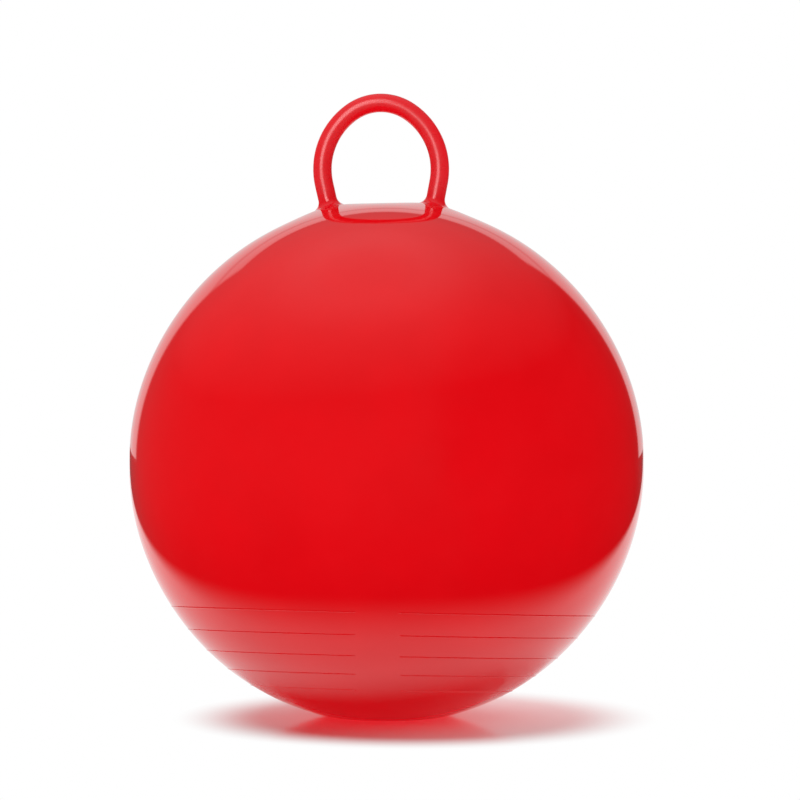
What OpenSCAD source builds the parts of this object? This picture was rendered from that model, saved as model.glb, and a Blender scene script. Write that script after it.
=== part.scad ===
// A hopper ball with a ring handle: an inflated vinyl skin that stands on its own flattened
// patch, a hollow loop to hold on to, ribs round its lower half, and a valve with a push-in plug.
// Millimetres. The origin is on the floor under the middle of the ball, and +Z is up.
// The loop faces -Y, and the valve is on the +Y side, behind the loop.

/* [Ball] */
// Width of the inflated ball at its equator
ball_d = 550; // [450:5:660]
// How much each half of the ball is stretched taller than it is wide
ball_stretch = 3; // [1:0.5:8]
// Thickness of the inflated skin
skin_wall = 1.2; // [0.8:0.1:3]
// Width of the flat patch that the ball stands on
patch_d = 98; // [60:2:140]
// How far the ball is rolled back on the floor, in degrees
roll_back = 4.5; // [0:0.5:10]

/* [Ribs] */
// Number of moulded ribs, one below the other
rib_rows = 5; // [1:1:7]
// Angle of the top rib below the equator, in degrees
rib_top_angle = 34.5; // [20:0.5:45]
// Distance from one rib to the next, measured along the skin
rib_pitch = 30; // [15:1:40]
// Width of a rib
rib_w = 1.8; // [1:0.1:4]
// Height of a rib above the skin, less than half its width
rib_rise = 0.6; // [0.3:0.05:1]
// Width of the plain strips at the front and the back, where the ribs stop
rib_gap_w = 46; // [20:1:90]
// Slope of the ribs on the unevenly stretched skin, down towards +X, in degrees
rib_slope = 1.2; // [-3:0.1:3]

/* [Ring handle] */
// Width of the loop at its widest, between tube centres
loop_w = 126; // [100:1:160]
// Height of the tube's centre above the ball, at the loop's crown
loop_rise = 109; // [95:1:140]
// How much tighter than half the loop's width the crown is bent
crown_tighten = 9; // [2:1:20]
// How much wider than half the loop's width the sides are bent
side_ease = 12; // [5:1:40]
// Thickness of the tube that the rider grips
grip_d = 20; // [16:0.5:28]
// Wall of the hollow tube
grip_wall = 2.5; // [1.5:0.1:4]
// Fillet where the tube grows out of the ball
foot_fillet_r = 7; // [3:0.5:12]
// Thickness of the foot's rim where it ends on the skin
foot_rim_t = 0.3; // [0.2:0.05:1]
// Lean of the loop on the unevenly stretched skin, towards -X, in degrees
loop_lean = 1.2; // [-3:0.1:3]

/* [Valve] */
// Angle of the valve from the top of the ball towards the back, in degrees
valve_angle = 28; // [20:1:32]
// Width of the plug's head
plug_head_d = 20; // [14:0.5:26]
// Thickness of the plug's head at its edge
plug_head_t = 2; // [1.5:0.1:4]
// How much the middle of the plug's head is domed
plug_dome = 0.6; // [0.2:0.1:1.5]
// Length of the plug's shank under its head
plug_shank_l = 15; // [10:0.5:24]
// Width of the valve's bore at its mouth
bore_mouth_d = 10; // [7:0.1:13]
// How much narrower the bore is at its inner end
bore_taper = 1.2; // [0.4:0.1:2]
// Length of the bore
bore_l = 18; // [14:0.5:28]
// Wall of the valve tube inside the ball
tube_wall = 2.8; // [1.5:0.1:5]
// Width of the valve's rim outside its recess
rim_w = 6; // [3:0.5:10]
// Thickness of the valve's rim on the skin
rim_t = 1.2; // [0.8:0.1:2.5]
// Wall of the collar that passes through the skin
collar_wall = 2; // [1:0.1:4]
// How far the bead under the skin reaches past the collar
bead_reach = 2.5; // [1:0.1:5]
// Thickness of the bead under the skin
bead_t = 2.2; // [1:0.1:4]
// Number of sealing rings on the plug
seal_rows = 3; // [1:1:5]
// Height of a sealing ring above the shank
seal_rise = 0.35; // [0.15:0.05:0.6]

/* [Fits] */
// Radial gap between the sealing rings and the bore
seal_fit = 0.08; // [0.05:0.01:0.2]
// Radial gap between the plug's head and its recess
head_fit = 0.3; // [0.2:0.05:0.6]
// Gap left under the plug's head
seat_gap = 0.2; // [0.1:0.05:0.5]

/* [Hidden] */
$fn = 96;
// Facets of the ball's own round, which is far larger than the rest
ball_fn = 240;
ball_red = "#e00a17";
plug_white = "#f1efe9";
// One length by which every cut runs past what it cuts
overrun = 1;

// The ball's outline in its own frame, whose origin is the centre of the round under the belt. A
// short straight belt carries it up to the round over the belt, which has the same radius.
pole_r = ball_d / 2;
low_c = [0, 0];
top_c = [0, 2 * ball_stretch];

// The skin rolls up from its flat patch. A roll of touch_r would just touch the ball's round, where
// a radius is a 7-24-25 slope. The roll is a little wider, so that the two cross in a clean line.
touch_share = [0.28, 0.96];
wider_share = 1.12;
patch_r = patch_d / 2;
touch_r = pole_r - patch_r / touch_share.x;
ball_z = touch_r + (pole_r - touch_r) * touch_share.y;
roll_r = touch_r * wider_share;
roll_c = [patch_r, roll_r];

// The loop's centre line: a crown arc, two wider side arcs, and legs that stand square on the skin
loop_half = loop_w / 2;
crown_r = loop_half - crown_tighten;
side_r = loop_half + side_ease;
crown_z = top_c.y + pole_r + loop_rise - crown_r;
side_drop = sqrt(pow(side_r - crown_r, 2) - pow(side_ease, 2));
join_angle = atan2(side_drop, side_ease);
side_up = crown_z - side_drop - top_c.y;
leg_angle = asin(side_r / norm([side_ease, side_up])) - atan2(side_ease, side_up);
leg_top = side_up * cos(leg_angle) - side_ease * sin(leg_angle);
grip_r = grip_d / 2;
grip_bore_r = grip_r - grip_wall;
// The loop's sides are a hair thinner than its crown and legs, so each join is one clean edge
join_step = 0.02;
// The fillet is a ball that rolls round the leg on the skin
fillet_reach = grip_r + foot_fillet_r;
rim_r = pole_r + foot_rim_t;
fillet_z = sqrt(pow(rim_r + foot_fillet_r, 2) - pow(fillet_reach, 2));
foot_r = fillet_reach * rim_r / (rim_r + foot_fillet_r);

// The valve, measured along its own axis from the centre of the round over the belt
recess_r = plug_head_d / 2 + head_fit;
collar_r = recess_r + collar_wall;
rim_out_r = recess_r + rim_w;
bead_r = collar_r + bead_reach;
rim_top = pole_r + rim_t;
recess_floor = rim_top - plug_head_t - seat_gap;
bore_end = recess_floor - bore_l;
tube_r = bore_mouth_d / 2 + tube_wall;
collar_end = pole_r - skin_wall - bead_t;
plug_under = recess_floor + seat_gap;
plug_tip = plug_under - plug_shank_l;
// The plug is moulded round a core, which leaves a blind hole in its shank
core_r = bore_mouth_d / 5;
core_l = plug_shank_l * 2 / 3;

// The bore's radius at a height
function bore_r(z) = bore_mouth_d / 2 - bore_taper / 2 * (recess_floor - z) / bore_l;

// Where a sealing ring sits on the shank
function seal_z(i) = plug_tip + plug_shank_l * (i + 1) / (seal_rows + 1);

// A point of the ball's outline, by the angle of its normal above the equator
function skin_point(angle) = (angle > 0 ? top_c : low_c) + pole_r * [cos(angle), sin(angle)];

// The part of a disc that lies in a region. Neighbouring regions share their straight edges.
module disc_part(centre, r, region) {
    intersection() {
        translate(centre)
            circle(r, $fn = ball_fn);
        polygon(region);
    }
}

// Half of the ball's cross-section before it flattens, drawn a distance inside its outer surface
module ball_section(inset) {
    disc_part(top_c, pole_r - inset,
        [top_c, [ball_d, top_c.y], [ball_d, ball_d], [0, ball_d]]);
    translate(low_c)
        square([pole_r - inset, top_c.y - low_c.y]);
    disc_part(low_c, pole_r - inset, [low_c, [0, -ball_d], [ball_d, -ball_d], [ball_d, low_c.y]]);
}

// Puts a piece that is drawn in the ball's own frame onto the floor
module in_ball() {
    translate([0, 0, ball_z])
        rotate([-roll_back, 0, 0])
            children();
}

// The space over the floor and inside the roll, which holds the ball's flattened foot
module foot_space(inset) {
    roll_out = [patch_r, roll_r - ball_z] / norm([patch_r, roll_r - ball_z]);
    roll_end = roll_c + (roll_r - inset) * roll_out;
    rotate_extrude($fn = ball_fn) {
        polygon([[0, inset], [patch_r, inset], [patch_r, roll_end.y], [0, roll_end.y]]);
        disc_part(roll_c, roll_r - inset,
            [[patch_r, -overrun], [ball_d, -overrun], [ball_d, roll_end.y], [patch_r, roll_end.y]]);
        translate([0, roll_end.y])
            square([ball_d, 2 * ball_d]);
    }
}

// The ball with its flattened foot, as a solid, drawn a distance inside its outer surface
module ball_solid(inset) {
    intersection() {
        in_ball()
            rotate_extrude($fn = ball_fn)
                ball_section(inset);
        foot_space(inset);
    }
}

// One rib: an arc round each side of the ball, between the plain strips. It is a bead that goes
// halfway into the wall.
module rib(angle) {
    crest = skin_point(angle);
    stop_angle = asin(rib_gap_w / 2 / crest.x);
    for (start = [-90, 90])
        rotate_extrude(angle = 180 - 2 * stop_angle, start = start + stop_angle, $fn = ball_fn)
            translate(crest)
                rotate(angle)
                    intersection() {
                        translate([rib_rise - rib_w / 2, 0])
                            circle(rib_w / 2, $fn = 16);
                        translate([-skin_wall / 2, -rib_w])
                            square([skin_wall / 2 + rib_w, 2 * rib_w]);
                    }
}

module ribs() {
    step = rib_pitch / pole_r * 180 / PI;
    in_ball()
        rotate([0, rib_slope, 0])
            for (i = [0 : rib_rows - 1])
                rib(-rib_top_angle - i * step);
}

// Puts a piece that is drawn about the centre of the round over the belt into the leaning loop
module in_loop() {
    in_ball()
        translate([0, 0, top_c.y])
            rotate([0, -loop_lean, 0])
                children();
}

// Puts a piece on the valve's axis
module on_valve() {
    in_ball()
        translate([0, 0, top_c.y])
            rotate([-valve_angle, 0, 0])
                children();
}

module ball_skin() {
    cut_l = skin_wall + 2 * overrun;
    cut_z = pole_r - skin_wall - overrun;
    color(ball_red)
        difference() {
            union() {
                ball_solid(0);
                ribs();
            }
            ball_solid(skin_wall);
            in_loop()
                for (side = [-1, 1])
                    rotate([0, side * leg_angle, 0])
                        translate([0, 0, cut_z])
                            cylinder(r = grip_bore_r, h = cut_l);
            on_valve()
                translate([0, 0, cut_z])
                    cylinder(r = collar_r, h = cut_l);
        }
}

// A bent length of tube or bore in the XZ plane, from one angle to another
module bend(bend_r, tube_r, from, to) {
    rotate([90, 0, 0])
        rotate_extrude(angle = to - from, start = from)
            translate([bend_r, 0])
                circle(tube_r, $fn = 64);
}

// The block that trims a bend square at the angle where the next length joins it
module past_join(bend_r) {
    translate([0, -bend_r, -2 * bend_r])
        cube(2 * bend_r);
}

// The loop as a solid rod, with what is given hung from its two ends as its legs. It is chained
// outwards from the crown's centre: each join turns about the centre of the bend before it, so
// both sides share its plane.
module loop(rod_r) {
    side_span = join_angle + leg_angle;
    in_loop()
        translate([0, 0, crown_z - top_c.y]) {
            difference() {
                bend(crown_r, rod_r, 0, 180);
                for (side = [0, 1])
                    mirror([side, 0, 0])
                        rotate([0, -join_angle, 0])
                            past_join(crown_r);
            }
            for (side = [0, 1])
                mirror([side, 0, 0])
                    rotate([0, -join_angle, 0])
                        translate([crown_r - side_r, 0, 0]) {
                            difference() {
                                bend(side_r, rod_r - join_step, -90, 0);
                                rotate([0, side_span, 0])
                                    past_join(side_r);
                            }
                            rotate([0, side_span, 0])
                                translate([side_r, 0, 0])
                                    children();
                        }
        }
}

// A straight leg with its flared foot, cut to the round of the ball, down from its upper end
module leg() {
    translate([0, 0, -leg_top])
        rotate_extrude()
            difference() {
                union() {
                    square([grip_r, leg_top]);
                    difference() {
                        square([foot_r, fillet_z]);
                        translate([fillet_reach, fillet_z])
                            circle(foot_fillet_r);
                    }
                }
                circle(pole_r, $fn = ball_fn);
            }
}

module ring_handle() {
    color(ball_red)
        difference() {
            loop(grip_r)
                leg();
            loop(grip_bore_r)
                mirror([0, 0, 1])
                    cylinder(r = grip_bore_r, h = leg_top - pole_r + overrun);
        }
}

// The sleeve that is set in the skin: a rim outside, a bead inside, and the tube that takes the plug
module valve_seat() {
    color(ball_red)
        on_valve()
            rotate_extrude()
                difference() {
                    union() {
                        intersection() {
                            circle(rim_top, $fn = ball_fn);
                            union() {
                                difference() {
                                    square([rim_out_r, rim_top + overrun]);
                                    circle(pole_r, $fn = ball_fn);
                                }
                                translate([0, collar_end])
                                    square([collar_r, rim_top - collar_end + overrun]);
                            }
                        }
                        intersection() {
                            circle(pole_r - skin_wall, $fn = ball_fn);
                            translate([0, collar_end])
                                square([bead_r, rim_top - collar_end]);
                        }
                        translate([0, bore_end])
                            square([tube_r, collar_end - bore_end + bead_t / 2]);
                    }
                    translate([0, recess_floor])
                        square([recess_r, rim_top - recess_floor + overrun]);
                    polygon([[0, bore_end - overrun], [bore_r(bore_end - overrun), bore_end - overrun],
                        [bore_r(recess_floor + overrun), recess_floor + overrun],
                        [0, recess_floor + overrun]]);
                }
}

// The push-in plug: a low domed head, a tapered shank with sealing rings, and a moulding core
module valve_plug() {
    head_r = plug_head_d / 2;
    dome_r = (pow(head_r, 2) + pow(plug_dome, 2)) / (2 * plug_dome);
    color(plug_white)
        on_valve()
            rotate_extrude()
                difference() {
                    union() {
                        translate([0, plug_under])
                            square([head_r, plug_head_t]);
                        intersection() {
                            translate([0, rim_top + plug_dome - dome_r])
                                circle(dome_r);
                            translate([0, rim_top])
                                square([head_r, plug_dome]);
                        }
                        polygon([[0, plug_tip], [bore_r(plug_tip) - seal_fit - seal_rise, plug_tip],
                            [bore_r(plug_under) - seal_fit - seal_rise, plug_under], [0, plug_under]]);
                        for (i = [0 : seal_rows - 1])
                            translate([bore_r(seal_z(i)) - seal_fit - seal_rise, seal_z(i)])
                                circle(seal_rise, $fn = 24);
                    }
                    translate([0, plug_tip - overrun])
                        square([core_r, core_l + overrun]);
                }
}

ball_skin();
ring_handle();
valve_seat();
valve_plug();
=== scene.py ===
import math
import bpy
import numpy as np
from mathutils import Matrix, Vector


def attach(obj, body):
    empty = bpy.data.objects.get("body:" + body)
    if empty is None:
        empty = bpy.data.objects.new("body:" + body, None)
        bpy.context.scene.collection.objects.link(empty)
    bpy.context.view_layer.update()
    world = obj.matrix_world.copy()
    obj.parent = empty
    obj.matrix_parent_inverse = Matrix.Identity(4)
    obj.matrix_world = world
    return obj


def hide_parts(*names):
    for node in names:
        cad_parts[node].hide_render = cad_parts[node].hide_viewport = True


# A red vinyl hopper ball with a hollow ring handle and a push-in valve plug, in a white studio.
# Metres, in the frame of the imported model: the ball stands on z = 0 and the loop faces -Y.

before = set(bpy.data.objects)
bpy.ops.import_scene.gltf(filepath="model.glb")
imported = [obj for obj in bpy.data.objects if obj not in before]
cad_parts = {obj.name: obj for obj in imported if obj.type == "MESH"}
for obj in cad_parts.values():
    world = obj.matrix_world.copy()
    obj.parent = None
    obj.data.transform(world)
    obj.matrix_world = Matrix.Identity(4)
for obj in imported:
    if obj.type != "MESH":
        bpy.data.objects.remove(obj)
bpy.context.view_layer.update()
print("frame loaded:", sorted(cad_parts))


# Small tools

def linearColour(hexText):
    # sRGB hex to linear: divide by 12.92 in the dark end, a power of 2.4 above it
    raw = np.array([int(hexText[i:i + 2], 16) / 255 for i in (1, 3, 5)])
    bright = ((raw + 0.055) / 1.055) ** 2.4
    return (*np.where(raw <= 0.04045, raw / 12.92, bright).tolist(), 1.0)


def addNode(tree, kind, sockets=None, **settings):
    node = tree.nodes.new(kind)
    for name, value in settings.items():
        setattr(node, name, value)
    for name, value in (sockets or {}).items():
        if isinstance(value, bpy.types.NodeSocket):
            tree.links.new(value, node.inputs[name])
        else:
            node.inputs[name].default_value = value
    return node


def newMaterial(name):
    material = bpy.data.materials.new(name)
    material.use_nodes = True
    material.node_tree.nodes.clear()
    return material, material.node_tree


def turnX(degrees):
    # A turn about X by an angle: y and z mix by its cosine and sine
    c, s = math.cos(math.radians(degrees)), math.sin(math.radians(degrees))
    return np.array([[1, 0, 0], [0, c, -s], [0, s, c]])


def turnY(degrees):
    # A turn about Y by an angle: z and x mix by its cosine and sine
    c, s = math.cos(math.radians(degrees)), math.sin(math.radians(degrees))
    return np.array([[c, 0, s], [0, 1, 0], [-s, 0, c]])


def smoothStep(x, low, high):
    # 0 below low, 1 above high, and 3t^2 - 2t^3 between them
    t = np.clip((x - low) / (high - low), 0, 1)
    return t * t * (3 - 2 * t)


def meshPiece(name, points, quads, triangles=None):
    # Points, quads and triangles as whole arrays go straight into a new mesh
    quads = np.asarray(quads, dtype=np.int32).reshape(-1, 4)
    triangles = np.zeros((0, 3), np.int32) if triangles is None else np.asarray(triangles, np.int32)
    mesh = bpy.data.meshes.new(name)
    mesh.vertices.add(len(points))
    mesh.vertices.foreach_set("co", np.asarray(points, np.float32).ravel())
    mesh.loops.add(quads.size + triangles.size)
    mesh.loops.foreach_set("vertex_index", np.concatenate([quads.ravel(), triangles.ravel()]))
    mesh.polygons.add(len(quads) + len(triangles))
    starts = np.concatenate([np.arange(len(quads)) * 4,
                             quads.size + np.arange(len(triangles)) * 3]).astype(np.int32)
    mesh.polygons.foreach_set("loop_start", starts)
    mesh.update(calc_edges=True)
    mesh.validate()
    piece = bpy.data.objects.new(name, mesh)
    bpy.context.scene.collection.objects.link(piece)
    return piece


def closedRows(rowCount, columnCount, first):
    # Rows of a round surface, from its lower pole to its upper one: each quad joins a row to the
    # next one and wraps round, and a fan of triangles closes each pole. Faces point outwards.
    row, column = np.meshgrid(np.arange(rowCount - 1), np.arange(columnCount), indexing="ij")
    after = (column + 1) % columnCount
    here = first + row * columnCount
    quads = np.stack([here + column, here + after, here + columnCount + after,
                      here + columnCount + column], axis=-1).reshape(-1, 4)
    low = first + rowCount * columnCount
    ring = np.arange(columnCount)
    turned = (ring + 1) % columnCount
    top = first + (rowCount - 1) * columnCount
    fans = np.concatenate([
        np.stack([np.full(columnCount, low), first + turned, first + ring], axis=-1),
        np.stack([np.full(columnCount, low + 1), top + ring, top + turned], axis=-1)])
    return quads, fans


# The ball's own frame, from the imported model's sizes

ball = {
    "radius": 0.275,        # of the round under the belt, and of the same round over it
    "belt": 0.006,          # height of the straight belt between them
    "centreHeight": 0.268,  # of the lower round's centre over the floor
    "rollBack": 4.5,        # degrees
    "wall": 0.0012,
    "patchRadius": 0.049,   # of the flat patch on the floor
    "footRoll": 0.112,      # radius by which the skin rolls up from the patch
    "shoulderDrop": 0.0016, # how far the stretched skin lies inside its round over the belt
    "shoulderSpan": (16, 90),   # where it does, in degrees from the top
    "flankDrop": 0.0008,    # the same under the belt
    "flankSpan": (95, 152),
}
ribs = {
    "rows": 5,
    "topAngle": 34.5,       # degrees below the belt
    "pitch": 0.030,         # along the skin
    "beadRadius": 0.0009,
    "rise": 0.0006,
    "gap": 0.046,           # width of the plain strips at the front and the back
    "slope": 1.2,           # degrees
    "slopeSpan": (10, 31),  # degrees below the belt, where the rows take up the ribs' slope
    "levelSpan": (61.5, 71),    # where they level out with the floor
    "endRound": 0.001,      # length of the round-off at a rib's end
}
inBall = turnX(-ball["rollBack"])
lowCentre = np.array([0, 0, ball["centreHeight"]])
topCentre = lowCentre + inBall @ np.array([0, 0, ball["belt"]])


# The ring handle: one hose, its centre line a crown arc, two wider side arcs and two legs

loop = {
    "lean": 1.2,            # degrees towards -X
    "crownRadius": 0.054,
    "sideRadius": 0.075,
    "sideShift": 0.012,     # of the side arcs' centres past the loop's middle
    "crownHeight": 0.330,   # over the upper round's centre
    "tubeRadius": 0.010,
    "boreRadius": 0.0075,
    "footFillet": 0.011,
    "sunk": 0.0003,         # how deep the feet's edges stand in the skin
    "boreStep": 0.004,      # length of the bore's first ring
    "pull": 0.0042,         # how far the feet draw the skin up round them
    "pullReach": 0.034,
    "around": 72,           # columns round the tube
    "footRings": 16,        # rings along each part of half the loop
    "legRings": 10,
    "sideRings": 44,
    "crownRings": 22,
}
loopFrame = inBall @ turnY(-loop["lean"])
sideDrop = math.sqrt((loop["sideRadius"] - loop["crownRadius"]) ** 2 - loop["sideShift"] ** 2)
joinAngle = math.atan2(sideDrop, loop["sideShift"])
sideUp = loop["crownHeight"] - sideDrop
legAngle = (math.asin(loop["sideRadius"] / math.hypot(loop["sideShift"], sideUp))
            - math.atan2(loop["sideShift"], sideUp))
legTop = sideUp * math.cos(legAngle) - loop["sideShift"] * math.sin(legAngle)
legAxis = np.array([math.sin(legAngle), math.cos(legAngle)])
legOut = np.array([math.cos(legAngle), -math.sin(legAngle)])
legAxes = [loopFrame @ np.array([side * legAxis[0], 0, legAxis[1]]) for side in (-1, 1)]


def skinRadius(directions):
    # How far the skin is from the lower round's centre: that round's radius, cut short by the
    # foot. Over the patch the foot is the floor's plane, h over the cosine of the angle from
    # straight down, and past it a circle about c, e.c + sqrt((e.c)^2 - c.c + r^2), up to where
    # that circle touches the round. Elsewhere they give a metre or more, which cuts nothing.
    down = -directions[..., 2]
    side = np.hypot(directions[..., 0], directions[..., 1])
    height, roll, patch = ball["centreHeight"], ball["footRoll"], ball["patchRadius"]
    drop = height - roll
    along = side * patch + down * drop
    inside = np.maximum(along ** 2 - patch ** 2 - drop ** 2 + roll ** 2, 0)
    onRoll = np.where(down * math.hypot(drop, patch) > drop, along + np.sqrt(inside), 1)
    onPatch = height / np.maximum(down, 0.05)
    foot = np.where(side * height < patch * down, onPatch, onRoll)
    return np.minimum(ball["radius"], foot)


def slack(angles):
    # The skin under the handle's pull and its own weight lies a hair inside the true round: a
    # squared sine between two angles from the top, once over the belt and once under it
    drop = 0
    for part in ("shoulder", "flank"):
        start, end = ball[part + "Span"]
        share = np.clip((90 - angles - start) / (end - start), 0, 1)
        drop = drop + ball[part + "Drop"] * np.sin(np.radians(share * 180)) ** 2
    return drop


def pulledUp(directions):
    # The handle's feet draw the skin up a little round them: a bell curve p exp(-(d / w)^2) of
    # the distance d from each leg's axis
    lift = 0
    for axis in legAxes:
        away = np.arccos(np.clip(directions @ axis, -1, 1)) * ball["radius"]
        lift = lift + loop["pull"] * np.exp(-(away / loop["pullReach"]) ** 2)
    return lift


def ballRows(angles, columns, inset):
    # Rows of the ball by the angle of their normal below or above the belt. A row is a circle
    # R(cos a, sin a) about the lower round's centre, or about the upper one past the belt. From
    # the belt down the rows' circles turn with the ribs' slope, and under the ribs they level out
    # with the floor, so that every edge of the skin lies along a row.
    a = np.radians(angles)[:, None]
    roll = 1 - smoothStep(-angles, *ribs["levelSpan"])
    tilt = smoothStep(-angles, *ribs["slopeSpan"]) * roll
    flat = np.stack([np.cos(a) * np.cos(columns), np.cos(a) * np.sin(columns),
                     np.sin(a) * np.ones_like(columns)], axis=-1)
    turns = np.stack([turnX(-ball["rollBack"] * r) @ turnY(ribs["slope"] * t)
                      for r, t in zip(roll, tilt)])
    directions = np.einsum("rij,rcj->rci", turns, flat)
    reach = skinRadius(directions) - slack(angles)[:, None] + pulledUp(directions)
    lift = np.where(angles > 0, ball["belt"], 0)[:, None] * (inBall @ np.array([0, 0, 1]))
    return lowCentre + directions * (reach - inset)[..., None] + lift[:, None, :], directions


def ribHeights(angles, columns, stops):
    # A rib is a round bead: sqrt(r^2 - d^2) less the depth of its centre, at a distance d from
    # its crest. It ends with a short round-off where the plain strip begins.
    depth = ribs["beadRadius"] - ribs["rise"]
    height = np.zeros((len(angles), columns.shape[1]))
    for i in range(ribs["rows"]):
        crest = ribs["topAngle"] + i * math.degrees(ribs["pitch"] / ball["radius"])
        away = np.radians(angles + crest) * ball["radius"]
        bead = np.sqrt(np.maximum(ribs["beadRadius"] ** 2 - away ** 2, 0)) - depth
        height += np.maximum(bead, 0)[:, None]
    fromStrip = np.arcsin(np.abs(np.cos(columns)).clip(0, 1)) - stops
    inward = fromStrip * np.cos(np.radians(angles))[:, None] * ball["radius"]
    return height * np.sqrt(np.clip(inward / ribs["endRound"], 0, 1))


# The ball's skin: an outer surface with its ribs, an inner one, and three holes through them

skinGrid = {
    "plainStep": 1.4,       # degrees between plain rows
    "plainEnds": (-0.2, 89.4),  # degrees, short of the belt and of the pole
    "ribRows": (1.3, 1.0, 0.86, 0.8, 0.7, 0.55, 0.35, 0.12),    # mm to both sides of a crest
    "betweenRows": (0.2, 0.4, 0.6, 0.8),    # shares of the way between two crests
    "underRows": (1.1, 2.3),    # degrees under the last crest
    "footRows": (63.6, 65.4, 67.2, 69, 70.6, 72, 73.2, 74.2, 75, 75.4, 75.8, 76.2, 76.8, 77.6,
                 78.4, 79.2, 79.64, 80.4, 81.6, 83.2, 85, 87, 88.6),    # degrees below the belt
    "columns": 260,
    "stripColumns": (0, 0.35, 0.7, 0.93),   # shares of a plain strip's half width
    "endColumns": (0, 0.00025, 0.0006, 0.001, 0.0018),  # m along a rib from its end
    "firstColumn": 0.012,   # share of the way from a strip to the side, where even columns start
    "stripLeast": 0.42,     # least cosines that a strip and a rib's end widen by near the poles
    "endLeast": 0.2,
    "innerStep": 4.0,       # degrees between rows of the inner surface
    "innerSpan": (-86, 88),
    "innerColumns": 72,
}


def skinAngles():
    # Row angles: even steps over the plain parts, close rows across each rib, and two rows for
    # the belt, at 0 and a hair over it
    step = math.degrees(ribs["pitch"] / ball["radius"])
    across = np.array(skinGrid["ribRows"]) / 1000 / ball["radius"]
    across = np.degrees(np.concatenate([-across, across[::-1]]))
    crests = -ribs["topAngle"] - step * np.arange(ribs["rows"])
    close = (crests[:, None] + across).ravel()
    between = (crests[:-1, None] - step * np.array(skinGrid["betweenRows"])).ravel()
    under = crests[-1] - np.array(skinGrid["underRows"])
    foot = -np.array(skinGrid["footRows"])
    plain, (beltEnd, poleEnd) = skinGrid["plainStep"], skinGrid["plainEnds"]
    above = np.arange(-ribs["topAngle"] + plain, beltEnd, plain)
    top = np.arange(plain, poleEnd, plain)
    return np.sort(np.concatenate([close, between, under, foot, above, [0, 1e-6], top]))


def skinColumns(angles):
    # Column angles round each row. Near the front and the back a column follows the ribs' ends,
    # at the angle whose sine is the strip's half width over the row's own radius.
    cosine = np.cos(np.radians(angles))
    share = ribs["gap"] / 2 / (ball["radius"] * cosine.clip(skinGrid["stripLeast"], 1))
    stops = np.arcsin(share)[:, None]
    strip = stops * np.array(skinGrid["stripColumns"])
    ends = np.array(skinGrid["endColumns"]) / ball["radius"]
    ends = ends / cosine.clip(skinGrid["endLeast"], 1)[:, None]
    evenCount = skinGrid["columns"] // 4 - strip.shape[1] - ends.shape[1]
    first = skinGrid["firstColumn"]
    even = first + (1 - first) * np.linspace(0, 1, evenCount + 1)[1:]
    quarter = np.concatenate([strip, stops + ends, stops + (math.pi / 2 - stops) * even], axis=1)
    mirrored = math.pi - quarter[:, 1:-1][:, ::-1]
    halfTurn = np.concatenate([quarter, mirrored], axis=1)
    full = np.concatenate([halfTurn, math.pi + halfTurn], axis=1)
    return full - math.pi / 2, stops


def makeSkin():
    angles = skinAngles()
    columns, stops = skinColumns(angles)
    outer, directions = ballRows(angles, columns, 0)
    outer += directions * ribHeights(angles, columns, stops)[..., None]
    rowCount, columnCount = columns.shape
    innerAngles = np.arange(*skinGrid["innerSpan"], skinGrid["innerStep"])
    innerRing = np.linspace(0, 2 * math.pi, skinGrid["innerColumns"], endpoint=False)
    innerColumns = np.repeat(innerRing[None], len(innerAngles), 0)
    inner, _ = ballRows(innerAngles, innerColumns, ball["wall"])
    outerTop, innerTop = (topCentre + inBall @ np.array([0, 0, ball["radius"] - inset])
                          for inset in (0, ball["wall"]))
    points = np.concatenate([outer.reshape(-1, 3), [[0, 0, 0]], [outerTop],
                             inner.reshape(-1, 3), [[0, 0, ball["wall"]]], [innerTop]])
    quads, fans = closedRows(rowCount, columnCount, 0)
    innerQuads, innerFans = closedRows(len(innerAngles), skinGrid["innerColumns"],
                                       rowCount * columnCount + 2)
    skin = meshPiece("ballSkinMoulded", points, np.concatenate([quads, innerQuads[:, ::-1]]),
                     np.concatenate([fans, innerFans[:, ::-1]]))
    print("skin rows and columns:", rowCount, columnCount)
    return skin


def cutter(axis, base, radius, low, high):
    # A plain round cutter: circles of one radius about an axis at two heights
    sides = 64
    turned = Vector(axis).normalized().to_track_quat("Z", "Y").to_matrix()
    ring = np.linspace(0, 2 * math.pi, sides, endpoint=False)
    flat = np.stack([np.cos(ring) * radius, np.sin(ring) * radius, 0 * ring], axis=-1)
    ends = [flat + [0, 0, low], flat + [0, 0, high], [[0, 0, low]], [[0, 0, high]]]
    points = np.concatenate(ends) @ np.array(turned).T + np.array(base)
    quads, fans = closedRows(2, sides, 0)
    return meshPiece("cutter", points, quads, fans)


def rightHalf(radius, footRadii, footHeights):
    # Rings of the right half from its foot to the crown, as centre, outward normal and radius.
    # On the leg a centre is height times the leg's axis, and on an arc it is c + R(cos a, sin a).
    legHeights = np.linspace(footHeights[-1], legTop, loop["legRings"])[1:]
    legRadii = np.concatenate([footRadii, np.full(len(legHeights), radius)])
    legHeights = np.concatenate([footHeights, legHeights])
    sideAngles = np.linspace(-legAngle, joinAngle, loop["sideRings"])[1:]
    crownAngles = np.linspace(joinAngle, math.pi / 2, loop["crownRings"])[1:]
    sideNormal = np.stack([np.cos(sideAngles), np.sin(sideAngles)], axis=-1)
    crownNormal = np.stack([np.cos(crownAngles), np.sin(crownAngles)], axis=-1)
    centres = np.concatenate([legHeights[:, None] * legAxis,
                              [-loop["sideShift"], sideUp] + loop["sideRadius"] * sideNormal,
                              [0, loop["crownHeight"]] + loop["crownRadius"] * crownNormal])
    normals = np.concatenate([np.repeat(legOut[None], len(legHeights), 0), sideNormal, crownNormal])
    radii = np.concatenate([legRadii, np.full(len(sideNormal) + len(crownNormal), radius)])
    return centres, normals, radii


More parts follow.
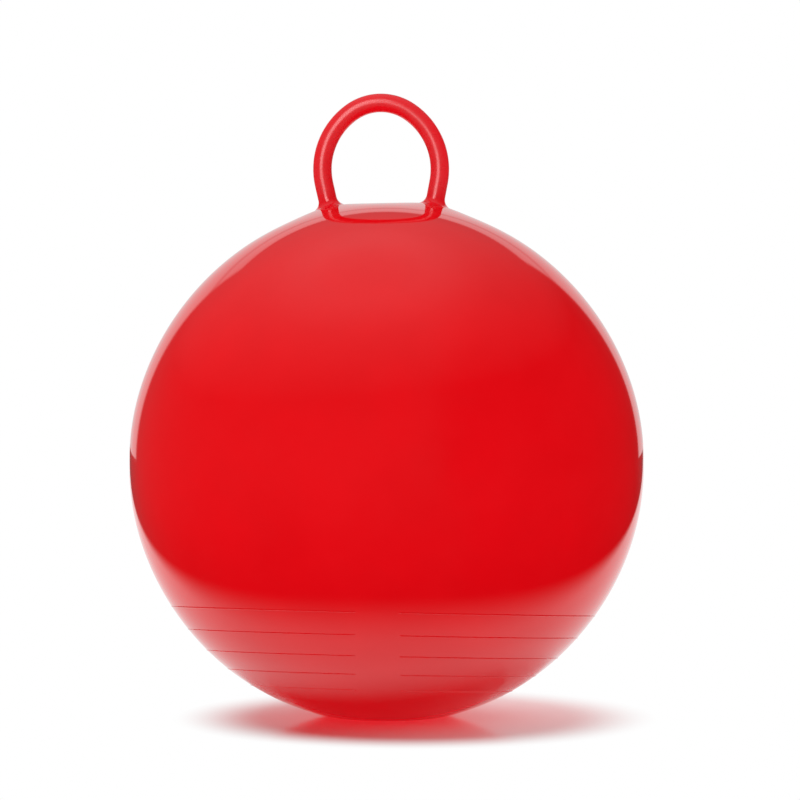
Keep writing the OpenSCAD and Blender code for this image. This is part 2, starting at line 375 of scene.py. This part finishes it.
def wholeLoop(radius, footRadii, footHeights):
    # The right half, then its mirror image from the crown down to the left foot
    centres, normals, radii = rightHalf(radius, footRadii, footHeights)
    mirror = np.array([-1, 1])
    return (np.concatenate([centres, centres[-2::-1] * mirror]),
            np.concatenate([normals, normals[-2::-1] * mirror]),
            np.concatenate([radii, radii[-2::-1]]))


def makeHandle():
    # The foot's fillet is a circle that touches both the ball and the leg: its rings have radius
    # x + f cos t at height z + f sin t. The outer rings run from the right foot to the left one,
    # and the bore's rings run back, so the rings close into a hose with open ends on the ball.
    fillet, tube, bore = loop["footFillet"], loop["tubeRadius"], loop["boreRadius"]
    filletX = tube + fillet
    skinAtFoot = ball["radius"] + loop["pull"] * math.exp(-(filletX / loop["pullReach"]) ** 2)
    filletZ = math.sqrt((skinAtFoot + fillet) ** 2 - filletX ** 2)
    touch = math.atan2(-filletZ, -filletX) + 2 * math.pi
    turn = np.linspace(touch, math.pi, loop["footRings"])
    footRadii = filletX + fillet * np.cos(turn)
    footHeights = filletZ + fillet * np.sin(turn)
    sunk = ball["radius"] - loop["sunk"]
    underRadius = footRadii[0] * sunk / skinAtFoot
    footRadii = np.concatenate([[underRadius], footRadii])
    footHeights = np.concatenate([[math.sqrt(sunk ** 2 - underRadius ** 2)], footHeights])
    boreLow = math.sqrt(sunk ** 2 - bore ** 2)
    outer = wholeLoop(tube, footRadii, footHeights)
    inner = wholeLoop(bore, np.array([bore, bore]),
                      np.array([boreLow, boreLow + loop["boreStep"]]))
    centres = np.concatenate([outer[0], inner[0][::-1]])
    normals = np.concatenate([outer[1], inner[1][::-1]])
    radii = np.concatenate([outer[2], inner[2][::-1]])
    turnRound = np.linspace(0, 2 * math.pi, loop["around"], endpoint=False)
    outward = np.concatenate([normals[:, :1], 0 * normals[:, :1], normals[:, 1:]], axis=1)
    middle = np.concatenate([centres[:, :1], 0 * centres[:, :1], centres[:, 1:]], axis=1)
    ring = (np.cos(turnRound)[None, :, None] * outward[:, None]
            + np.sin(turnRound)[None, :, None] * np.array([0, 1, 0]))
    points = (middle[:, None] + ring * radii[:, None, None]).reshape(-1, 3)
    points = points @ loopFrame.T + topCentre
    rowCount, columnCount = len(radii), loop["around"]
    row, column = np.meshgrid(np.arange(rowCount), np.arange(columnCount), indexing="ij")
    nextRow, after = (row + 1) % rowCount, (column + 1) % columnCount
    quads = np.stack([row * columnCount + column, row * columnCount + after,
                      nextRow * columnCount + after, nextRow * columnCount + column], axis=-1)
    return meshPiece("ringHandleHose", points, quads.reshape(-1, 4))


def outwardFaces(piece):
    # A closed piece whose signed volume is below zero is inside out, and has its faces turned
    mesh = piece.data
    mesh.calc_loop_triangles()
    corners = np.empty(len(mesh.loop_triangles) * 3, np.int32)
    mesh.loop_triangles.foreach_get("vertices", corners)
    points = np.empty(len(mesh.vertices) * 3, np.float32)
    mesh.vertices.foreach_get("co", points)
    a, b, c = points.reshape(-1, 3)[corners.reshape(-1, 3)].astype(float).transpose(1, 0, 2)
    volume = np.einsum("ij,ij->i", a, np.cross(b, c)).sum() / 6
    if volume < 0:
        mesh.flip_normals()
    print(piece.name, "encloses %.6f litres, triangles %d" % (abs(volume) * 1000, len(a)))


def applied(piece):
    # The piece's mesh with its modifiers worked in
    graph = bpy.context.evaluated_depsgraph_get()
    done = bpy.data.meshes.new_from_object(piece.evaluated_get(graph))
    piece.modifiers.clear()
    piece.data = done


skinPiece = makeSkin()
outwardFaces(skinPiece)
handlePiece = makeHandle()
outwardFaces(handlePiece)

# The holes: one round the valve's sleeve, and one under each foot of the handle
holes = {
    "valveAngle": 28,       # degrees back from the ball's own top
    "valveRadius": 0.0123,
    "span": (0.270, 0.280), # from the upper round's centre, so from inside the skin to outside
}
valveAxis = turnX(-ball["rollBack"] - holes["valveAngle"]) @ np.array([0, 0, 1])
cutters = [cutter(valveAxis, topCentre, holes["valveRadius"], *holes["span"])]
cutters += [cutter(axis, topCentre, loop["boreRadius"], *holes["span"]) for axis in legAxes]
for tool in cutters:
    outwardFaces(tool)
    modifier = skinPiece.modifiers.new("hole", "BOOLEAN")
    modifier.operation = "DIFFERENCE"
    modifier.solver = "EXACT"
    modifier.object = tool
applied(skinPiece)
for tool in cutters:
    bpy.data.objects.remove(tool)
outwardFaces(skinPiece)
sharpFrom = math.radians(62)    # an edge steeper than this stays sharp, such as a hole's rim
for piece in (skinPiece, handlePiece):
    piece.data.shade_smooth()
    piece.data.set_sharp_from_angle(angle=sharpFrom)
print("skin and handle made")


# Materials

# Soft PVC, rotation-moulded: tinted through, with a clear gloss from the polished mould. The
# gloss carries the mould's faint waviness, and fingers leave it a touch duller in places.
skinFinish = {
    "base": "#eb0712",
    "deep": "#e4050f",
    "roughness": (0.035, 0.075),
    "cloudSize": 0.09,      # m, patches of slightly deeper tint
    "peelSize": 0.0022,     # m, the mould's orange peel, drawn twice as coarse as it is
    "peelHeight": 0.0000012,
    "waveSize": 0.07,       # m, slow waviness of the inflated skin
    "waveHeight": 0.00004,
}
# The same vinyl at the grip, where the mould is matt: satin, so that its highlights spread
gripFinish = {
    "base": "#f00a1c",
    "deep": "#e80616",
    "roughness": (0.25, 0.32),
    "cloudSize": 0.03,
    "peelSize": 0.0016,
    "peelHeight": 0.0000005,
    "waveSize": 0.02,
    "waveHeight": 0.000006,
    "feetSpan": (0.545, 0.566), # m, heights between which the feet's polish turns to satin
    "feetRoughness": 0.09,
}
# Harder vinyl of the valve, injection-moulded: satin, with a fine grain
valveFinish = {
    "base": "#d90816",
    "deep": "#cb0612",
    "roughness": (0.26, 0.36),
    "cloudSize": 0.006,
    "peelSize": 0.0006,
    "peelHeight": 0.000002,
    "waveSize": 0.004,
    "waveHeight": 0.000004,
}
# Unfilled polyethylene, injection-moulded: waxy off-white with a soft sheen
plugFinish = {
    "base": "#f1efe9",
    "deep": "#e6e2d8",
    "roughness": (0.38, 0.5),
    "cloudSize": 0.005,
    "peelSize": 0.0005,
    "peelHeight": 0.0000025,
    "waveSize": 0.003,
    "waveHeight": 0.000004,
}


def mouldedPlastic(name, finish):
    # Tint and roughness follow slow noise of the patch size, and the bump adds fine peel to slow
    # waves. A noise scale is one over the size in metres, because the coordinates are metres.
    # PVC and polyethylene both have an IOR near 1.5.
    cloudSpan, smearSpan = (0.3, 0.75), (0.35, 0.75)    # which hold most of each noise's values
    material, tree = newMaterial(name)
    place = addNode(tree, "ShaderNodeTexCoord").outputs["Object"]
    cloud = addNode(tree, "ShaderNodeTexNoise", {
        "Vector": place, "Scale": 1 / finish["cloudSize"], "Detail": 3.0, "Roughness": 0.55})
    ramp = addNode(tree, "ShaderNodeValToRGB", {"Fac": cloud.outputs["Fac"]})
    ramp.color_ramp.elements[0].position = cloudSpan[0]
    ramp.color_ramp.elements[0].color = linearColour(finish["base"])
    ramp.color_ramp.elements[1].position = cloudSpan[1]
    ramp.color_ramp.elements[1].color = linearColour(finish["deep"])
    smear = addNode(tree, "ShaderNodeTexNoise", {
        "Vector": place, "Scale": 2.3 / finish["cloudSize"], "Detail": 5.0, "Roughness": 0.6,
        "Distortion": 0.6})
    rough = addNode(tree, "ShaderNodeMapRange", {
        "Value": smear.outputs["Fac"], "From Min": smearSpan[0], "From Max": smearSpan[1],
        "To Min": finish["roughness"][0], "To Max": finish["roughness"][1]})
    wave = addNode(tree, "ShaderNodeTexNoise", {
        "Vector": place, "Scale": 1 / finish["waveSize"], "Detail": 1.0})
    slow = addNode(tree, "ShaderNodeBump", {
        "Height": wave.outputs["Fac"], "Strength": 1.0, "Distance": finish["waveHeight"]})
    peel = addNode(tree, "ShaderNodeTexNoise", {
        "Vector": place, "Scale": 1 / finish["peelSize"], "Detail": 2.0})
    fine = addNode(tree, "ShaderNodeBump", {
        "Height": peel.outputs["Fac"], "Strength": 1.0, "Distance": finish["peelHeight"],
        "Normal": slow.outputs["Normal"]})
    roughness = rough.outputs["Result"]
    if "feetRoughness" in finish:
        # Towards its feet the grip takes the ball's polish, between two heights
        height = addNode(tree, "ShaderNodeSeparateXYZ", {"Vector": place}).outputs["Z"]
        upGrip = addNode(tree, "ShaderNodeMapRange", {
            "Value": height, "From Min": finish["feetSpan"][0], "From Max": finish["feetSpan"][1]},
            interpolation_type="SMOOTHSTEP")
        roughness = addNode(tree, "ShaderNodeMix", {
            0: upGrip.outputs["Result"], 2: finish["feetRoughness"], 3: roughness},
            data_type="FLOAT").outputs[0]
    plastic = addNode(tree, "ShaderNodeBsdfPrincipled", {
        "Base Color": ramp.outputs["Color"], "Roughness": roughness, "IOR": 1.5,
        "Normal": fine.outputs["Normal"]})
    addNode(tree, "ShaderNodeOutputMaterial", {"Surface": plastic.outputs["BSDF"]})
    return material


skinVinyl = mouldedPlastic("softVinylRotationMouldedGloss", skinFinish)
gripVinyl = mouldedPlastic("softVinylMouldedSatinGrip", gripFinish)
valveVinyl = mouldedPlastic("hardVinylInjectionMouldedSatin", valveFinish)
plugPlastic = mouldedPlastic("polyethyleneInjectionMouldedWaxy", plugFinish)


def dress(piece, material):
    piece.data.materials.clear()
    piece.data.materials.append(material)


dress(skinPiece, skinVinyl)
dress(handlePiece, gripVinyl)
for nodeName, material in (("valve_seat", valveVinyl), ("valve_plug", plugPlastic)):
    for slot in bpy.data.objects[nodeName].material_slots:
        slot.material = material

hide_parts("ball_skin")
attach(skinPiece, "ball")
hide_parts("ring_handle")
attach(handlePiece, "ball")
print("materials given")


# Studio

studio = {
    "fill": 1.0,            # brightness of the even fill round the object
    "fillRight": 0.62,      # of its right end
    "fillSpan": (2.8, 7.6), # m to the right, between the two
    "domeRadius": 8.0,
    "domeRows": 24,
    "domeColumns": 48,
}
objectParts = bpy.data.collections.new("objectParts")
floorParts = bpy.data.collections.new("floorParts")
gripParts = bpy.data.collections.new("gripParts")


def studioDome(name, radius, centre):
    # A sphere seen from inside: r(cos a cos b, cos a sin b, sin a) in rows a and columns b
    rowCount, columnCount = studio["domeRows"], studio["domeColumns"]
    a = np.linspace(-math.pi / 2, math.pi / 2, rowCount + 2)[1:-1, None]
    b = np.linspace(0, 2 * math.pi, columnCount, endpoint=False)[None]
    rows = np.stack([np.cos(a) * np.cos(b), np.cos(a) * np.sin(b), np.sin(a) + 0 * b], axis=-1)
    points = np.concatenate([rows.reshape(-1, 3), [[0, 0, -1], [0, 0, 1]]]) * radius
    quads, fans = closedRows(rowCount, columnCount, 0)
    dome = meshPiece(name, points, quads[:, ::-1], fans[:, ::-1])
    dome.location = centre
    dome.data.shade_smooth()
    dome.visible_camera = False
    dome.visible_transmission = False
    dome.visible_volume_scatter = False
    dome.visible_shadow = False
    return dome


def lightDome(dome, material, surface, receivers):
    # The material ends in this surface, and the dome's light reaches one group of pieces alone
    addNode(material.node_tree, "ShaderNodeOutputMaterial", {"Surface": surface})
    material.cycles.emission_sampling = "NONE"
    dress(dome, material)
    dome.light_linking.receiver_collection = receivers


# The fill: an even white tent that lights the object alone, and fades towards its right end
fillDome = studioDome("fillTent", studio["domeRadius"], (0, 0, 0))
fillDome.visible_glossy = False
fillWhite, tree = newMaterial("fillTentWhite")
place = addNode(tree, "ShaderNodeTexCoord").outputs["Object"]
split = addNode(tree, "ShaderNodeSeparateXYZ", {"Vector": place})
even = addNode(tree, "ShaderNodeMapRange", {
    "Value": split.outputs["X"], "From Min": studio["fillSpan"][0],
    "From Max": studio["fillSpan"][1], "To Min": studio["fill"],
    "To Max": studio["fillRight"]}, interpolation_type="SMOOTHSTEP")
glow = addNode(tree, "ShaderNodeEmission", {
    "Color": (1, 1, 1, 1), "Strength": even.outputs["Result"]})
lightDome(fillDome, fillWhite, glow.outputs["Emission"], objectParts)

# The floor's share of the tent: its glow reaches the floor alone and lets other rays through
tent = {
    "radius": 6.4,
    "light": 1.55,          # brightness behind the ball and to its right
    "dim": 0.03,            # in front of it
    "span": (-1.6, 2.8),    # m, between which y + aside x turns from dim to light
    "aside": 0.55,
    "mirrored": 0.55,       # brightness in the floor's sheen
}
floorTent = studioDome("floorTent", tent["radius"], (0, 0, 0))
tentWhite, tree = newMaterial("floorTentWhite")
place = addNode(tree, "ShaderNodeTexCoord").outputs["Object"]
split = addNode(tree, "ShaderNodeSeparateXYZ", {"Vector": place})
aside = addNode(tree, "ShaderNodeMath", {
    0: split.outputs["X"], 1: tent["aside"], 2: split.outputs["Y"]}, operation="MULTIPLY_ADD")
behind = addNode(tree, "ShaderNodeMapRange", {
    "Value": aside.outputs[0], "From Min": tent["span"][0], "From Max": tent["span"][1],
    "To Min": tent["dim"], "To Max": tent["light"]}, interpolation_type="SMOOTHSTEP")
rays = addNode(tree, "ShaderNodeLightPath")
share = addNode(tree, "ShaderNodeMix", {
    0: rays.outputs["Is Glossy Ray"], 2: behind.outputs["Result"], 3: tent["mirrored"]},
    data_type="FLOAT")
glow = addNode(tree, "ShaderNodeEmission", {"Color": (1, 1, 1, 1), "Strength": share.outputs[0]})
through = addNode(tree, "ShaderNodeBsdfTransparent")
both = addNode(tree, "ShaderNodeAddShader", {
    0: glow.outputs["Emission"], 1: through.outputs["BSDF"]})
lightDome(floorTent, tentWhite, both.outputs["Shader"], floorParts)

# What the gloss shows: a white sheet behind, an overhead silk with soft edges, a faint haze on
# the left and the dark studio elsewhere
room = {
    "radius": 7.2,
    "middle": (0, 0, 0.27),
    "silk": 0.56,           # brightness of the silk where it is full
    "silkLean": (-0.11, 0.1),   # how much its edge rises to the right and sinks to the back
    # Its soft edge: sine of the height over the horizon, and share of the full silk
    "silkEdge": ((0.45, 0), (0.55, 0.12), (0.65, 0.22), (0.79, 0.42), (0.86, 0.58), (0.96, 1)),
    "sheet": 0.8,           # brightness of the sheet behind
    "sheetLeft": (-35, -31),    # degrees from +Y between which its edges fade in
    "sheetRight": (28.5, 25),
    "sheetTop": (33.2, 31.2),   # degrees over the horizon
    "hem": ((23.0, 1), (24.9, 0.66), (26.8, 1)),    # the darker hem near its top
    "haze": 0.1,            # brightness of the haze on the left
    "hazeRight": 0.03,
    "hazeSpan": (0.25, 0.6),    # sine of the way to the right, between the two
    "hazeLow": 0.12,        # its share low down
    "hazeHeights": (-0.72, 0.15),
}


def hazeLevel(tree, wayX, wayZ):
    # The dim left side of the dark studio: brightest a little above the horizon, and fading to the
    # right and downwards
    aside = addNode(tree, "ShaderNodeMapRange", {
        "Value": wayX, "From Min": room["hazeSpan"][0], "From Max": room["hazeSpan"][1],
        "To Min": room["haze"], "To Max": room["hazeRight"]}, interpolation_type="SMOOTHSTEP")
    high = addNode(tree, "ShaderNodeMapRange", {
        "Value": wayZ, "From Min": room["hazeHeights"][0], "From Max": room["hazeHeights"][1],
        "To Min": room["hazeLow"], "To Max": 1.0}, interpolation_type="SMOOTHSTEP")
    return addNode(tree, "ShaderNodeMath", {0: aside.outputs["Result"], 1: high.outputs["Result"]},
                   operation="MULTIPLY").outputs[0]


def greyRamp(ramp, stops):
    # Grey levels at places along a ramp, which starts with two elements of its own
    for element, (position, level) in zip(ramp.elements, (stops[0], stops[-1])):
        element.position = position
        element.color = (level, level, level, 1)
    for position, level in stops[1:-1]:
        ramp.elements.new(position).color = (level, level, level, 1)


glossDome = studioDome("studioRoom", room["radius"], room["middle"])
glossDome.visible_diffuse = False
roomTone, tree = newMaterial("studioRoomTones")
place = addNode(tree, "ShaderNodeTexCoord").outputs["Object"]
way = addNode(tree, "ShaderNodeVectorMath", {0: place}, operation="NORMALIZE")
split = addNode(tree, "ShaderNodeSeparateXYZ", {"Vector": way.outputs["Vector"]})
wayX, wayY, wayZ = split.outputs
# The silk follows the height over the horizon, and starts higher on the right and at the front
lean = addNode(tree, "ShaderNodeMath", {0: wayX, 1: room["silkLean"][0], 2: wayZ},
               operation="MULTIPLY_ADD")
lean = addNode(tree, "ShaderNodeMath", {0: wayY, 1: room["silkLean"][1], 2: lean.outputs[0]},
               operation="MULTIPLY_ADD")
silk = addNode(tree, "ShaderNodeValToRGB", {"Fac": lean.outputs[0]})
greyRamp(silk.color_ramp, room["silkEdge"])
silkLevel = addNode(tree, "ShaderNodeMath", {0: silk.outputs["Color"], 1: room["silk"]},
                    operation="MULTIPLY")
dim = addNode(tree, "ShaderNodeMath", {0: silkLevel.outputs[0], 1: hazeLevel(tree, wayX, wayZ)},
              operation="ADD")
# The sheet behind: between two bearings from +Y, and under its top edge
bearing = addNode(tree, "ShaderNodeMath", {0: wayX, 1: wayY}, operation="ARCTAN2").outputs[0]
leftEdge, rightEdge, topEdge = (
    addNode(tree, "ShaderNodeMapRange", {"Value": value, "From Min": start, "From Max": end},
            interpolation_type="SMOOTHSTEP").outputs["Result"]
    for value, (start, end) in ((bearing, np.radians(room["sheetLeft"]).tolist()),
                                (bearing, np.radians(room["sheetRight"]).tolist()),
                                (wayZ, np.sin(np.radians(room["sheetTop"])).tolist())))
sheet = addNode(tree, "ShaderNodeMath", {0: leftEdge, 1: rightEdge}, operation="MULTIPLY")
sheet = addNode(tree, "ShaderNodeMath", {0: sheet.outputs[0], 1: topEdge}, operation="MULTIPLY")
hem = addNode(tree, "ShaderNodeValToRGB", {"Fac": wayZ})
greyRamp(hem.color_ramp, [(math.sin(math.radians(angle)), level) for angle, level in room["hem"]])
sheetLevel = addNode(tree, "ShaderNodeMath", {0: hem.outputs["Color"], 1: room["sheet"]},
                     operation="MULTIPLY")
tone = addNode(tree, "ShaderNodeMix", {0: sheet.outputs[0], 2: dim.outputs[0],
                                       3: sheetLevel.outputs[0]}, data_type="FLOAT")
glow = addNode(tree, "ShaderNodeEmission", {"Color": (1, 1, 1, 1), "Strength": tone.outputs[0]})
lightDome(glossDome, roomTone, glow.outputs["Emission"], objectParts)

# The floor: a white glossy sheet, which keeps the ball's soft shade and red glow. Outside the
# shade the camera, gloss and glass see it plain white, and past a curve in front of the ball the
# gloss sees a painted dark reflection
floor = {
    "size": 9.0,            # half its width
    "tone": "#f8f8f8",
    "gloss": 0.3,           # share of mirror-like sheen
    "sheen": (0.10, 0.14),  # roughness of the sheen, between clean and dusty
    "dustScale": 40.0,
    # The ball's soft shade in metres, as the camera and as the gloss sees it
    "shadeSeen": {"centre": (0.032, -0.012, 0), "stretch": 1.2, "radii": (0.16, 0.262)},
    "shadeMirrored": {"centre": (0.02, 0.05, 0), "stretch": 1.0, "radii": (0.16, 0.235)},
    # Where the painted dark reflection starts in the gloss, y = a + b x^2 + c x^4, fading in over a
    # span that widens to the sides by 1 + frontSpread x^2
    # the curve where the painted dark reflection begins
    "front": (-0.262, 1.5, 0.8),
    "frontSpread": 3.0,
    "frontSpan": (0.045, -0.085),
    # painted bounce light on the ball's underside, with painted shade close by
    "paintedBounce": (0.6, 1.15),  # how bright the ball's underside sees it, close by and further out
    "paintedBounceSpan": (0.05, 0.9),  # m from where the ball stands
}
floorPiece = meshPiece("studioFloor", [(x * floor["size"], y * floor["size"], 0)
                                       for x, y in ((-1, -1), (1, -1), (1, 1), (-1, 1))],
                       [(0, 1, 2, 3)])
floorSheet, tree = newMaterial("floorSheetWhiteGloss")
place = addNode(tree, "ShaderNodeTexCoord").outputs["Object"]
split = addNode(tree, "ShaderNodeSeparateXYZ", {"Vector": place})
rays = addNode(tree, "ShaderNodeLightPath")


def outsideShade(shade):
    # 0 inside an ellipse and 1 outside it: the distance from its centre, with y shrunk to make it
    # round, runs between two radii
    moved = addNode(tree, "ShaderNodeVectorMath", {0: place, 1: shade["centre"]},
                    operation="SUBTRACT")
    shrunk = addNode(tree, "ShaderNodeVectorMath", {0: moved.outputs["Vector"],
                                                    1: (1, 1 / shade["stretch"], 0)},
                     operation="MULTIPLY")
    reach = addNode(tree, "ShaderNodeVectorMath", {0: shrunk.outputs["Vector"]}, operation="LENGTH")
    return addNode(tree, "ShaderNodeMapRange", {
        "Value": reach.outputs["Value"], "From Min": shade["radii"][0],
        "From Max": shade["radii"][1]}, interpolation_type="SMOOTHSTEP").outputs["Result"]


dust = addNode(tree, "ShaderNodeTexNoise", {"Vector": place, "Scale": floor["dustScale"],
                                            "Detail": 4.0})
sheen = addNode(tree, "ShaderNodeMapRange", {
    "Value": dust.outputs["Fac"], "To Min": floor["sheen"][0], "To Max": floor["sheen"][1]})
matt = addNode(tree, "ShaderNodeBsdfDiffuse", {"Color": linearColour(floor["tone"])})
gloss = addNode(tree, "ShaderNodeBsdfGlossy", {"Color": (1, 1, 1, 1),
                                               "Roughness": sheen.outputs["Result"]})
sheet = addNode(tree, "ShaderNodeMixShader", {0: floor["gloss"], 1: matt.outputs["BSDF"],
                                              2: gloss.outputs["BSDF"]})
white = addNode(tree, "ShaderNodeEmission", {"Color": (1, 1, 1, 1), "Strength": 1.0})
toCamera = addNode(tree, "ShaderNodeMath", {0: outsideShade(floor["shadeSeen"]),
                                            1: rays.outputs["Is Camera Ray"]}, operation="MULTIPLY")
mirrored = addNode(tree, "ShaderNodeMath", {0: rays.outputs["Is Glossy Ray"],
                                            1: rays.outputs["Is Transmission Ray"]},
                   operation="MAXIMUM")
toGloss = addNode(tree, "ShaderNodeMath", {0: outsideShade(floor["shadeMirrored"]),
                                           1: mirrored.outputs[0]}, operation="MULTIPLY")
plainShare = addNode(tree, "ShaderNodeMath", {0: toCamera.outputs[0], 1: toGloss.outputs[0]},
                     operation="MAXIMUM")
surface = addNode(tree, "ShaderNodeMixShader", {0: plainShare.outputs[0],
                                                1: sheet.outputs["Shader"],
                                                2: white.outputs["Emission"]})
# Past that curve the floor shows the gloss a painted dark reflection, as dim as the studio's haze
square = addNode(tree, "ShaderNodeMath", {0: split.outputs["X"], 1: split.outputs["X"]},
                 operation="MULTIPLY")
curve = addNode(tree, "ShaderNodeMath", {
    0: square.outputs[0], 1: floor["front"][2], 2: floor["front"][1]}, operation="MULTIPLY_ADD")
curve = addNode(tree, "ShaderNodeMath", {
    0: curve.outputs[0], 1: square.outputs[0], 2: floor["front"][0]}, operation="MULTIPLY_ADD")
edge = addNode(tree, "ShaderNodeMath", {0: split.outputs["Y"], 1: curve.outputs[0]},
               operation="SUBTRACT")
spread = addNode(tree, "ShaderNodeMath", {0: square.outputs[0], 1: floor["frontSpread"], 2: 1.0},
                 operation="MULTIPLY_ADD")
edge = addNode(tree, "ShaderNodeMath", {0: edge.outputs[0], 1: spread.outputs[0]},
               operation="DIVIDE")
past = addNode(tree, "ShaderNodeMapRange", {
    "Value": edge.outputs[0], "From Min": floor["frontSpan"][0],
    "From Max": floor["frontSpan"][1]}, interpolation_type="SMOOTHSTEP")
paintedDarkShare = addNode(tree, "ShaderNodeMath", {
    0: past.outputs["Result"], 1: rays.outputs["Is Glossy Ray"]}, operation="MULTIPLY")
centred = addNode(tree, "ShaderNodeVectorMath", {0: place, 1: room["middle"]},
                  operation="SUBTRACT")
way = addNode(tree, "ShaderNodeVectorMath", {0: centred.outputs["Vector"]}, operation="NORMALIZE")
wayX, _, wayZ = addNode(tree, "ShaderNodeSeparateXYZ", {"Vector": way.outputs["Vector"]}).outputs
paintedDarkReflection = addNode(tree, "ShaderNodeEmission", {"Color": (1, 1, 1, 1),
                                            "Strength": hazeLevel(tree, wayX, wayZ)})
surface = addNode(tree, "ShaderNodeMixShader", {0: paintedDarkShare.outputs[0],
                                                1: surface.outputs["Shader"],
                                                2: paintedDarkReflection.outputs["Emission"]})
# Painted bounce light: the sheet glows to diffuse rays and so lights the ball's underside, with
# painted shade that dims it close to where the ball stands
near = addNode(tree, "ShaderNodeVectorMath", {0: place}, operation="LENGTH")
upLight = addNode(tree, "ShaderNodeMapRange", {
    "Value": near.outputs["Value"], "From Min": floor["paintedBounceSpan"][0],
    "From Max": floor["paintedBounceSpan"][1], "To Min": floor["paintedBounce"][0],
    "To Max": floor["paintedBounce"][1]})
paintedBounce = addNode(tree, "ShaderNodeEmission", {"Color": (1, 1, 1, 1),
                                              "Strength": upLight.outputs["Result"]})
surface = addNode(tree, "ShaderNodeMixShader", {0: rays.outputs["Is Diffuse Ray"],
                                                1: surface.outputs["Shader"],
                                                2: paintedBounce.outputs["Emission"]})
addNode(tree, "ShaderNodeOutputMaterial", {"Surface": surface.outputs["Shader"]})
floorSheet.cycles.emission_sampling = "NONE"
dress(floorPiece, floorSheet)


def studioLamp(name, kind, values, receivers):
    lamp = bpy.data.objects.new(name, bpy.data.lights.new(name, kind))
    lamp.data.energy = values["power"]
    lamp.location = values["place"]
    bpy.context.scene.collection.objects.link(lamp)
    lamp.light_linking.receiver_collection = receivers
    lamp.visible_camera = False
    return lamp


# A tall lamp on the left that puts the handle's highlight on
gripLamp = {
    "place": (-0.62, -2.1, 1.55),
    "target": (0, 0, 0.6),
    "size": (1.3, 2.0),
    "power": 44.0,          # W
}
gripStrip = studioLamp("gripHighlightLamp", "AREA", gripLamp, gripParts)
gripStrip.data.shape = "RECTANGLE"
gripStrip.data.size, gripStrip.data.size_y = gripLamp["size"]
aim = Vector(gripLamp["target"]) - Vector(gripLamp["place"])
gripStrip.rotation_euler = aim.to_track_quat("-Z", "Y").to_euler()
gripStrip.visible_diffuse = False

# The red light that the thin skin lets through to the floor, from the middle of the ball
skinLamp = {
    "place": (0, -0.03, 0.22),
    "softSize": 0.08,
    "power": 0.9,           # W
    "colour": "#ff1228",
}
throughSkin = studioLamp("throughSkinLight", "POINT", skinLamp, floorParts)
throughSkin.data.color = linearColour(skinLamp["colour"])[:3]
throughSkin.data.shadow_soft_size = skinLamp["softSize"]
throughSkin.light_linking.blocker_collection = floorParts
throughSkin.visible_glossy = False

# The world is white to the camera, gloss and glass, and lights the rest by a trace
worldLight = 0.06
world = bpy.data.worlds.new("studioWorld")
bpy.context.scene.world = world
world.use_nodes = True
tree = world.node_tree
tree.nodes.clear()
rays = addNode(tree, "ShaderNodeLightPath")
seen = addNode(tree, "ShaderNodeMath", {0: rays.outputs["Is Camera Ray"],
                                        1: rays.outputs["Is Glossy Ray"]}, operation="MAXIMUM")
seen = addNode(tree, "ShaderNodeMath", {
    0: seen.outputs[0], 1: rays.outputs["Is Transmission Ray"]}, operation="MAXIMUM")
level = addNode(tree, "ShaderNodeMapRange", {
    "Value": seen.outputs[0], "To Min": worldLight, "To Max": 1.0})
sky = addNode(tree, "ShaderNodeBackground", {
    "Color": (1, 1, 1, 1), "Strength": level.outputs["Result"]})
addNode(tree, "ShaderNodeOutputWorld", {"Surface": sky.outputs["Background"]})

for piece in (skinPiece, handlePiece, bpy.data.objects["valve_seat"],
              bpy.data.objects["valve_plug"]):
    objectParts.objects.link(piece)
floorParts.objects.link(floorPiece)
gripParts.objects.link(handlePiece)
print("studio set")


# Camera: a little above the ball's middle and a step to its right, with a long lens

view = {
    "azimuth": 1.5,         # degrees to the right of -Y
    "elevation": 3.0,
    "distance": 5.0,
    "lens": 210.2,          # mm
    "sensor": 36,
    "clipEnd": 60,          # m, past the studio's domes
    "centre": (0, 0.0002, 0.271),   # of the ball
    "pixel": (386.6, 463.2),    # where that is in the picture
    "picture": 800,         # pixels across
}
camera = bpy.data.objects.new("camera", bpy.data.cameras.new("camera"))
bpy.context.scene.collection.objects.link(camera)
bpy.context.scene.camera = camera
camera.data.lens = view["lens"]
camera.data.sensor_width = view["sensor"]
camera.data.clip_end = view["clipEnd"]
azimuth, elevation = math.radians(view["azimuth"]), math.radians(view["elevation"])
back = Vector((math.sin(azimuth) * math.cos(elevation), -math.cos(azimuth) * math.cos(elevation),
               math.sin(elevation)))
camera.location = Vector(view["centre"]) + back * view["distance"]
focalPixels = view["lens"] / view["sensor"] * view["picture"]
aside, below = (math.atan((pixel - view["picture"] / 2) / focalPixels) for pixel in view["pixel"])
facing = (-back).to_track_quat("-Z", "Y").to_matrix()
camera.rotation_euler = (facing @ Matrix.Rotation(aside, 3, "Y")
                         @ Matrix.Rotation(below, 3, "X")).to_euler()

scene = bpy.context.scene
scene.view_settings.view_transform = "Standard"
